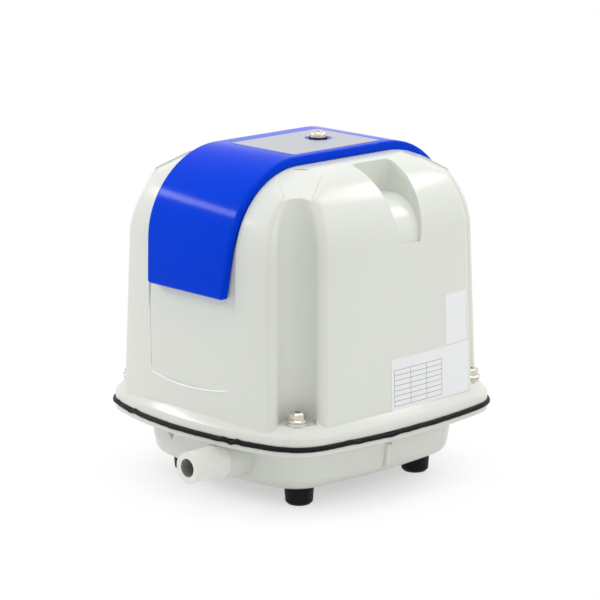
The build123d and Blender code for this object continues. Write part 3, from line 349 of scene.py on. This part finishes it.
def welded(name):
    """A copy of a node's mesh with its seams joined, so that curved faces shade smoothly."""
    mesh = nodes[name].data.copy()
    bm = bmesh.new()
    bm.from_mesh(mesh)
    bmesh.ops.remove_doubles(bm, verts=bm.verts, dist=0.000002)
    bm.to_mesh(mesh)
    bm.free()
    if mesh.attributes.get("custom_normal"):
        mesh.attributes.remove(mesh.attributes["custom_normal"])
    mesh.shade_smooth()
    mesh.set_sharp_from_angle(angle=SMOOTH_ANGLE)
    return mesh


body_of = {n: body for body, members in frame["record"]["behaviour"]["bodies"].items() for n in members}
SKINNED = ("upper_case", "lower_case", "filter_cover", "outlet_nozzle", "case_bolts", "cover_screw")

for name, obj in nodes.items():
    obj.data.materials.clear()
    obj.data.materials.append(finish_of(name))
    if name in SKINNED:
        skin = link(bpy.data.objects.new(name + "_skin", welded(name)))
        skin.data.materials.clear()
        skin.data.materials.append(finish_of(name))
        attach(skin, body_of[name])
        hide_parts(name)


# The strap's ends narrow towards their tips
TAPER_TOP = 0.168
TAPER_TIP = 0.129
TAPER_SHARE = 0.10
TIP_OUT = 0.0015
TIP_DROP = 0.0022
for v in bpy.data.objects["filter_cover_skin"].data.vertices:
    t = min(1, max(0, (TAPER_TOP - v.co.z) / (TAPER_TOP - TAPER_TIP)))
    t *= t * (3 - 2 * t)
    v.co.x *= 1 - TAPER_SHARE * t
    v.co.y += math.copysign(TIP_OUT * t, v.co.y)
    v.co.z -= TIP_DROP * t


def tree_of(name):
    mesh = nodes[name].data
    return BVHTree.FromPolygons([v.co for v in mesh.vertices], [p.vertices for p in mesh.polygons])


def rounded_rectangle(half_w, half_h, corner, steps=8):
    points = []
    for i, (sx, sy) in enumerate(((1, 1), (-1, 1), (-1, -1), (1, -1))):
        centre = (sx * (half_w - corner), sy * (half_h - corner))
        for k in range(steps + 1):
            a = math.radians(90 * i + 90 * k / steps)
            points.append((centre[0] + corner * math.cos(a), centre[1] + corner * math.sin(a)))
    return points


def flat_plate(name, loops, thickness):
    """A flat plate from closed outlines; the ones inside the first are holes."""
    curve = bpy.data.curves.new(name, "CURVE")
    curve.dimensions = "2D"
    curve.fill_mode = "BOTH"
    curve.extrude = thickness / 2
    for loop in loops:
        spline = curve.splines.new("POLY")
        spline.points.add(len(loop) - 1)
        for point, (x, y) in zip(spline.points, loop):
            point.co = (x, y, 0, 1)
        spline.use_cyclic_u = True
    maker = link(bpy.data.objects.new(name + "_curve", curve))
    bpy.context.view_layer.update()
    mesh = bpy.data.meshes.new_from_object(maker.evaluated_get(bpy.context.evaluated_depsgraph_get()))
    bpy.data.objects.remove(maker)
    mesh.name = name
    return mesh


def placed(name, mesh, matrix, material, body):
    mesh.transform(matrix)
    obj = link(bpy.data.objects.new(name, mesh))
    mesh.materials.clear()
    mesh.materials.append(material)
    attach(obj, body)


def circle(x, y, radius, steps=40):
    return [
        (x + radius * math.cos(2 * math.pi * k / steps), y + radius * math.sin(2 * math.pi * k / steps))
        for k in range(steps)
    ]


# Label stock, the tone of printed rules, painted shade for dark lines and patches, and a painted highlight
# along a lit edge
silver = foil("silver_label", rgb(166, 170, 177), rgb(182, 186, 192), 0.35, 0.30)
white_stock = foil("white_label", rgb(226, 227, 228), rgb(236, 237, 238), 0.0, 0.35)
grey_ink = ink("grey_ink", rgb(96, 98, 102))
# A darker grey for the panels' shaded side lines and a small shaded patch on the tub: painted shade.
shade_line_ink = ink("painted_shade_line", rgb(184, 186, 178))
# A lighter tone for the bead along the panels' lower edge: a painted highlight.
gleam = foil("edge_gleam", rgb(232, 234, 228), rgb(238, 240, 234), 0.0, 0.2)

# Bare label on top of the filter cover, with a hole round the screw
cover_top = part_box("filter_cover")[1].z
screw_low, screw_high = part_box("cover_screw_washer")
screw_y = (screw_low.y + screw_high.y) / 2
LABEL_HALF = (0.0272, 0.0355)
LABEL_CORNER = 0.0012
LABEL_HOLE = 0.0083
LABEL_X = 0.0035
LABEL_Y = 0.0005
LABEL_THICK = 0.0002
label_loops = [rounded_rectangle(*LABEL_HALF, LABEL_CORNER), circle(-LABEL_X, screw_y - LABEL_Y, LABEL_HOLE)]
label_place = Matrix.Translation((LABEL_X, LABEL_Y, cover_top + LABEL_THICK / 2))
top_label = flat_plate("top_label", label_loops, LABEL_THICK)
placed("top_label", top_label, label_place, silver, "cover")


# Labels on the side wall: laid onto the wall by rays from outside
case_tree = tree_of("upper_case")


def wall_point(y, z, lift):
    hit = case_tree.ray_cast(Vector((RAY_START, y, z)), Vector((-1, 0, 0)))[0]
    return hit + Vector((lift, 0, 0))


def wall_label(name, loops, centre, thickness, material, lift=0.00005, columns=24):
    """A thin plate whose outline is given in the wall's y and z, wrapped onto the wall."""
    mesh = flat_plate(name, loops, thickness)
    bm = bmesh.new()
    bm.from_mesh(mesh)
    lows = min(v.co.x for v in bm.verts)
    highs = max(v.co.x for v in bm.verts)
    for k in range(1, columns):
        x = lows + (highs - lows) * k / columns
        geom = bm.verts[:] + bm.edges[:] + bm.faces[:]
        bmesh.ops.bisect_plane(bm, geom=geom, dist=1e-7, plane_co=(x, 0, 0), plane_no=(1, 0, 0))
    for v in bm.verts:
        height = v.co.z + thickness / 2 + lift
        v.co = wall_point(centre[0] + v.co.x, centre[1] + v.co.y, height)
    bm.to_mesh(mesh)
    bm.free()
    placed(name, mesh, Matrix.Identity(4), material, "case")


PLATE_CORNER = 0.001
PLATE_THICK = 0.00015
RATING_CENTRE = (0.0236, 0.0715)
RATING_HALF = (0.0342, 0.0155)
SIDE_CENTRE = (0.0465, 0.1028)
SIDE_HALF = (0.0099, 0.0152)
rating_loop = rounded_rectangle(*RATING_HALF, PLATE_CORNER)
side_loop = rounded_rectangle(*SIDE_HALF, PLATE_CORNER)
wall_label("rating_label", [rating_loop], RATING_CENTRE, PLATE_THICK, white_stock)
wall_label("side_label", [side_loop], SIDE_CENTRE, PLATE_THICK, white_stock)


# Plain printed rules on the rating plate, with no words between them
RULES_CENTRE = (RATING_CENTRE[0] - 0.0115, RATING_CENTRE[1] - 0.0022)
RULES_HALF = (0.0205, 0.0108)
RULE_ROWS = 7
RULE_COLUMNS = 3
RULE_HALF_WIDTH = 0.00012
RULE_THICK = 0.00003
RULE_LIFT = 0.00021


def rule(name, low, high, columns):
    """One printed line, a thin plate between two corners."""
    loop = [(low[0], low[1]), (high[0], low[1]), (high[0], high[1]), (low[0], high[1])]
    wall_label(name, [loop], RULES_CENTRE, RULE_THICK, grey_ink, lift=RULE_LIFT, columns=columns)


for n in range(RULE_ROWS + 1):
    y = -RULES_HALF[1] + 2 * RULES_HALF[1] * n / RULE_ROWS
    low, high = (-RULES_HALF[0], y - RULE_HALF_WIDTH), (RULES_HALF[0], y + RULE_HALF_WIDTH)
    rule(f"rating_rule_row_{n}", low, high, 12)
for n in range(RULE_COLUMNS + 1):
    x = -RULES_HALF[0] + 2 * RULES_HALF[0] * n / RULE_COLUMNS
    low, high = (x - RULE_HALF_WIDTH, -RULES_HALF[1]), (x + RULE_HALF_WIDTH, RULES_HALF[1])
    rule(f"rating_rule_column_{n}", low, high, 2)


# How deep a relief's root goes into its wall, and the crease in degrees of relief and edgings
RELIEF_ROOT = 0.0008
CREASE = 40


def relief(name, tree, origin, toward, across, centre, half, steps, height, material, slot):
    """A closed pad laid on a wall: height gives its lift over u and v, each from -1 to 1."""
    toward, across = Vector(toward), Vector(across)
    columns, rows = steps
    skin, under = [], []
    for i in range(columns + 1):
        for j in range(rows + 1):
            u, v = 2 * i / columns - 1, 2 * j / rows - 1
            aside = across * (centre[0] + half[0] * u)
            start = Vector(origin) + aside + Vector((0, 0, centre[1] + half[1] * v))
            hit = tree.ray_cast(start, toward)[0]
            skin.append(hit - toward * height(u, v))
            under.append(hit + toward * RELIEF_ROOT)
    count = len(skin)
    cell = [(i * (rows + 1) + j, (i + 1) * (rows + 1) + j) for i in range(columns) for j in range(rows)]
    faces = [(a, b, b + 1, a + 1) for a, b in cell]
    faces += [(a + 1 + count, b + 1 + count, b + count, a + count) for a, b in cell]
    rim = [i * (rows + 1) for i in range(columns)] + [columns * (rows + 1) + j for j in range(rows)]
    rim += [(i + 1) * (rows + 1) - 1 for i in range(columns, 0, -1)] + list(range(rows, 0, -1))
    for a, b in zip(rim, rim[1:] + rim[:1]):
        faces.append((b, a, a + count, b + count))
    obj = mesh_object(name, skin + under, faces)
    face_outward(obj)
    dress(obj, material, "case", CREASE)


tub_tree = tree_of("lower_case")


def rounded(u, v, edge=0.35):
    """A flat-topped pad with soft edges: 1 in the middle, 0 at the border."""
    reach = max(abs(u), abs(v))
    t = min(1, max(0, (1 - reach) / edge))
    return math.sqrt(1 - (1 - t) ** 2)


def inside_shade_patch(u, v):
    """Whether a point lies in a triangle that points down."""
    return abs(u) < (1 + v) / 2 and v < 0.95


# Fine relief on the lower case, each as (centre, half size, cells) on its wall
RIB = ((0.0008, 0.0245), (0.0026, 0.0075), (14, 30))
RIB_HEIGHT = 0.0022
RIB_SINK = 0.0002
# The triangle is a thin pad in the darker shade-line colour: painted shade on the tub's front wall.
SHADE_PATCH = ((-0.0345, 0.0292), (0.0040, 0.0026), (32, 20))
SHADE_PATCH_HEIGHT = 0.0003
SHADE_PATCH_SINK = 0.0004

relief(
    "tub_rib", tub_tree, (RAY_START, 0, 0), (-1, 0, 0), (0, 1, 0), *RIB,
    lambda u, v: RIB_HEIGHT * rounded(u, v) - RIB_SINK, case_paint, "case",
)
relief(
    "tub_painted_shade", tub_tree, (0, -RAY_START, 0), (0, 1, 0), (1, 0, 0), *SHADE_PATCH,
    lambda u, v: SHADE_PATCH_HEIGHT if inside_shade_patch(u, v) else -SHADE_PATCH_SINK, shade_line_ink, "case",
)


# The recessed front and rear panels' outline, down to its bowed lower edge
PANEL_TOP = (0.0375, 0.1290)
PANEL_FOOT = (0.0336, 0.0752)
PANEL_LOW = 0.0696
PANEL_BOW = 0.19
PANEL_CORNER = 0.0022
PANEL_TURN_STEPS = 7

# Sections across the outline, outward from it: a round bead below, coloured lighter as a painted highlight,
# and a fine strip beside, coloured darker as painted shade
LIP = [(-0.0006, -0.0003), (-0.0005, 0.0001), (-0.0002, 0.00036), (0.0001, 0.0004), (0.0004, 0.00026),
       (0.0006, -0.0003)]
LIP_SINK = 0.0006
LIP_FADE = 7
SHADE_STRIP = [(-0.00025, -0.0002), (-0.00025, 0.00002), (0.00005, 0.00002), (0.00005, -0.0002)]


def panel_side(sign, steps=30):
    (x0, z0), (x1, z1) = PANEL_TOP, PANEL_FOOT
    return [(sign * (x0 + (x1 - x0) * k / steps), z0 + (z1 - z0) * k / steps) for k in range(steps + 1)]


def panel_base(steps=48):
    reach = PANEL_FOOT[0] - PANEL_CORNER
    xs = [-reach + 2 * reach * k / steps for k in range(steps + 1)]
    low = [(x, PANEL_LOW + x * x / (2 * PANEL_BOW)) for x in xs]
    turn = []
    for k in range(1, PANEL_TURN_STEPS):
        a = math.radians(90 * k / PANEL_TURN_STEPS)
        turn.append((
            -PANEL_FOOT[0] + PANEL_CORNER * (1 - math.cos(a)),
            low[0][1] + PANEL_CORNER * (1 - math.sin(a)),
        ))
    return turn + low + [(-x, z) for x, z in reversed(turn)]


def edging(name, path, side, section, material, fading=False):
    """A section swept along a path of x and z on the front (-1) or rear (+1) wall."""
    verts, faces = [], []
    out = Vector((0, side, 0))
    n = len(section)
    for k, (x, z) in enumerate(path):
        (xa, za), (xb, zb) = path[max(0, k - 1)], path[min(len(path) - 1, k + 1)]
        outward = Vector((xb - xa, 0, zb - za)).normalized().cross(Vector((0, -1, 0)))
        share = min(1, k / LIP_FADE, (len(path) - 1 - k) / LIP_FADE) if fading else 1
        for offset, lift in section:
            start = Vector((x, side * RAY_START, z)) + outward * offset
            verts.append(case_tree.ray_cast(start, -out)[0] + out * (lift - LIP_SINK * (1 - share)))
    for k in range(len(path) - 1):
        for j in range(n):
            i = (j + 1) % n
            faces.append((k * n + j, k * n + i, (k + 1) * n + i, (k + 1) * n + j))
    faces += [tuple(range(n)), tuple(range((len(path) - 1) * n, len(path) * n))]
    obj = mesh_object(name, verts, faces)
    face_outward(obj)
    dress(obj, material, "case", CREASE)


for side, face in ((-1, "front"), (1, "rear")):
    # The dark strip runs only along the panel side that the light leaves in shade, at negative x on the
    # front and at positive x on the rear: painted shade.
    shaded = panel_side(-1) if side < 0 else list(reversed(panel_side(1)))
    edging(f"panel_lip_{face}", panel_base(), side, LIP, gleam, True)
    edging(f"panel_shade_line_{face}", shaded, side, SHADE_STRIP, shade_line_ink)


# Flanges under the case bolts' heads, which stand a little larger than their plain solids
FLANGE = [(0.0026, 0.0), (0.0061, 0.0), (0.0062, 0.0004), (0.0058, 0.0009), (0.0049, 0.0013),
          (0.0026, 0.0013)]
FLANGE_STEPS = 48
HEAD_GROWTH = 1.12
HEAD_MARGIN = 0.0001
WASHER_RADIUS = 0.0052
TURNED_CREASE = 35
washer_low, washer_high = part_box("case_washers")
washer_top = washer_high.z
bolt_x = (washer_high.x - washer_low.x) / 2 - WASHER_RADIUS
bolt_y = (washer_high.y - washer_low.y) / 2 - WASHER_RADIUS


def bolt_flange(sx, sy):
    """Widen one bolt's head about its axis and put a flange under it."""
    x, y = sx * bolt_x, sy * bolt_y
    for v in bpy.data.objects["case_bolts_skin"].data.vertices:
        if v.co.z >= washer_top - HEAD_MARGIN and v.co.x * sx > 0 and v.co.y * sy > 0:
            v.co.x = x + (v.co.x - x) * HEAD_GROWTH
            v.co.y = y + (v.co.y - y) * HEAD_GROWTH
            v.co.z = washer_top + (v.co.z - washer_top) * HEAD_GROWTH

    def place(point, a):
        return (x + point[0] * math.cos(a), y + point[0] * math.sin(a), washer_top + point[1])

    hands = ("left" if sx < 0 else "right", "front" if sy < 0 else "rear")
    flange = turned("bolt_flange_%s_%s" % hands, FLANGE, FLANGE_STEPS, place)
    dress(flange, nickel, "case", TURNED_CREASE)


for sx in (-1, 1):
    for sy in (-1, 1):
        bolt_flange(sx, sy)


# The nozzle's root flares to the boss that carries it; each point is (along, radius)
COLLAR = [(0.0002, 0.0090), (0.0002, 0.0110), (-0.0008, 0.01085), (-0.0022, 0.0104), (-0.0042, 0.0098),
          (-0.0068, 0.00935), (-0.0090, 0.00915), (-0.0090, 0.0090)]
COLLAR_STEPS = 72
SHOULDER_BACK = 0.015
shoulder_y = nozzle_high.y - SHOULDER_BACK


def on_nozzle(point, a):
    along, radius = point
    return (nozzle_x + radius * math.cos(a), shoulder_y + along, nozzle_z + radius * math.sin(a))


collar = turned("nozzle_collar", COLLAR, COLLAR_STEPS, on_nozzle)
dress(collar, nozzle_grey, "case", TURNED_CREASE)


# The gasket's squeezed-out edge, with the small waves of a compressed rubber strip
gasket_low, gasket_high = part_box("case_gasket")
gasket_tree = tree_of("case_gasket")
gasket_mid = (gasket_low.z + gasket_high.z) / 2
gasket_half = (gasket_high.z - gasket_low.z) / 2
GASKET_STEPS = 720
GASKET_RAY = 0.3
GASKET_CREASE = 50

# Section as (depth from the edge, height in half thicknesses); only the points near the edge wave
BEAD = [(0.0095, -1.0), (0.0016, -1.0), (0.0006, -0.86), (0.0001, -0.45), (0.0, 0.0), (0.0001, 0.45),
        (0.0006, 0.86), (0.0016, 1.0), (0.0095, 1.0)]
WAVING_DEPTH = 0.002
# Waves as (frequency, height), and kinks as (degrees, spread, lift)
WAVES = ((7, 0.00035), (19, 0.00018))
PULL_FREQUENCY = 11
PULL_SEED = Vector((5, 0, 0))
PULL_DEPTH = 0.0004
KINKS = ((-64.5, 1.0, 0.0007), (-67.0, 1.1, -0.0007), (-70.0, 1.5, 0.0004), (-116.0, 1.5, 0.0006),
         (-119.0, 1.3, -0.0006), (-128.0, 1.6, 0.0006), (-28.0, 2.0, 0.0004), (-10.0, 2.5, -0.0004))
verts = []
for k in range(GASKET_STEPS):
    a = 2 * math.pi * k / GASKET_STEPS
    out = Vector((math.cos(a), math.sin(a), 0))
    hit = gasket_tree.ray_cast(Vector((0, 0, gasket_mid)) + out * GASKET_RAY, -out)[0]
    wave = sum(noise.noise(out * frequency) * height for frequency, height in WAVES)
    for at, spread, lift in KINKS:
        wave += lift * math.exp(-((math.degrees(a) - 360 - at) / spread) ** 2)
    inward = (noise.noise(out * PULL_FREQUENCY + PULL_SEED) * 0.5 + 0.5) * PULL_DEPTH
    for depth, height in BEAD:
        lean = 1.0 if depth < WAVING_DEPTH else 0.0
        spot = hit - out * (depth + lean * inward)
        verts.append((spot.x, spot.y, gasket_mid + height * gasket_half + lean * wave))
gasket = mesh_object("gasket_bead", verts, joined_round(GASKET_STEPS, len(BEAD)))
dress(gasket, black_rubber, "case", GASKET_CREASE)
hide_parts("case_gasket")


# Camera
a, e = math.radians(AZIMUTH), math.radians(ELEVATION)
back = Vector((math.sin(a) * math.cos(e), -math.cos(a) * math.cos(e), math.sin(e)))
right = Vector((math.cos(a), math.sin(a), 0))
camera = link(bpy.data.objects.new("camera", bpy.data.cameras.new("camera")))
camera.data.sensor_width = SENSOR
camera.data.lens = FOCAL_PX * SENSOR / FRAME_PX
camera.data.clip_end = CLIP_END
camera.location = Vector((0, 0, TARGET_Z)) + right * TARGET_RIGHT + back * DISTANCE
camera.rotation_euler = (-back).to_track_quat("-Z", "Y").to_euler()
bpy.context.scene.camera = camera


# Soft lamps, all aimed at the object's middle: (name, place, size, power)
LAMP_AIM = Vector((0, 0, 0.11))
LAMPS = (
    ("softbox_above", (0.1, 0.0, 1.5), (0.8, 0.8), 6.6),
    ("softbox_back", (0.36, 1.05, 1.2), (0.55, 0.4), 4),
    ("strip_left", (-1.12, -0.80, 0.93), (0.8, 0.11), 7),
    ("softbox_right", (1.4, 0.2, 0.8), (0.8, 0.7), 2.6),
)
for name, place, size, power in LAMPS:
    data = bpy.data.lights.new(name, "AREA")
    data.shape = "RECTANGLE"
    data.size, data.size_y = size
    data.energy = power
    obj = link(bpy.data.objects.new(name, data))
    obj.location = place
    obj.rotation_euler = (Vector(place) - LAMP_AIM).to_track_quat("Z", "Y").to_euler()


SURROUND_STRENGTH = 0.68
WHITE_STRENGTH = 1.0

# Rays that meet the surround and the far floor as white
SEEN_RAYS = ("Is Camera Ray", "Is Glossy Ray", "Is Transmission Ray")


def world():
    """An even pale surround, white to the camera, to reflections and through anything clear."""
    w = bpy.data.worlds.new("studio")
    bpy.context.scene.world = w
    w.use_nodes = True
    tree = w.node_tree
    tree.nodes.clear()
    out = tree.nodes.new("ShaderNodeOutputWorld")
    path = tree.nodes.new("ShaderNodeLightPath")
    seen = path.outputs[SEEN_RAYS[0]]
    for ray in SEEN_RAYS[1:]:
        either = tree.nodes.new("ShaderNodeMath")
        either.operation = "MAXIMUM"
        tree.links.new(seen, either.inputs[0])
        tree.links.new(path.outputs[ray], either.inputs[1])
        seen = either.outputs[0]
    light = tree.nodes.new("ShaderNodeBackground")
    light.inputs["Color"].default_value = (1, 1, 1, 1)
    light.inputs["Strength"].default_value = SURROUND_STRENGTH
    white = tree.nodes.new("ShaderNodeBackground")
    white.inputs["Color"].default_value = (1, 1, 1, 1)
    white.inputs["Strength"].default_value = WHITE_STRENGTH
    mix = tree.nodes.new("ShaderNodeMixShader")
    tree.links.new(seen, mix.inputs[0])
    tree.links.new(light.outputs[0], mix.inputs[1])
    tree.links.new(white.outputs[0], mix.inputs[2])
    tree.links.new(mix.outputs[0], out.inputs[0])


FLOOR_HALF = 6.0
# The floor is this share white at the near distance from the origin, and all white at the far one
FADE_SHARE = 0.5
FADE_NEAR = 0.04
FADE_FAR = 0.14


def floor():
    """A pale floor that keeps the shadow near the object and fades to white further out."""
    size = FLOOR_HALF
    obj = mesh_object(
        "floor", [(-size, -size, 0), (size, -size, 0), (size, size, 0), (-size, size, 0)], [(0, 1, 2, 3)]
    )
    s = Shader("floor_paper")
    tree = s.tree
    fibre = s.spread(s.noise(60, 2), 0, 1)
    s.set(Base_Color=s.mix(fibre, rgb(240, 240, 240), rgb(243, 243, 243)), Roughness=0.9)
    glow = s.node("Emission", {"Color": (1, 1, 1, 1), "Strength": WHITE_STRENGTH})
    distance = s.node("VectorMath", {0: s.coord}, operation="LENGTH").outputs["Value"]
    span = {"Value": distance, "From Min": FADE_NEAR, "From Max": FADE_FAR}
    span.update({"To Min": FADE_SHARE, "To Max": 1.0})
    fade = s.node("MapRange", span, interpolation_type="SMOOTHSTEP").outputs[0]
    path = s.node("LightPath")
    seen = path.outputs[SEEN_RAYS[0]]
    for ray in SEEN_RAYS[1:]:
        seen = s.node("Math", {0: seen, 1: path.outputs[ray]}, operation="MAXIMUM").outputs[0]
    seen = s.node("Math", {0: seen, 1: fade}, operation="MULTIPLY").outputs[0]
    mix = s.node("MixShader", {0: seen, 1: s.bsdf.outputs[0], 2: glow.outputs[0]})
    tree.links.new(mix.outputs[0], tree.nodes["Material Output"].inputs["Surface"])
    obj.data.materials.append(s.mat)


world()
floor()
bpy.context.scene.view_settings.view_transform = "Standard"
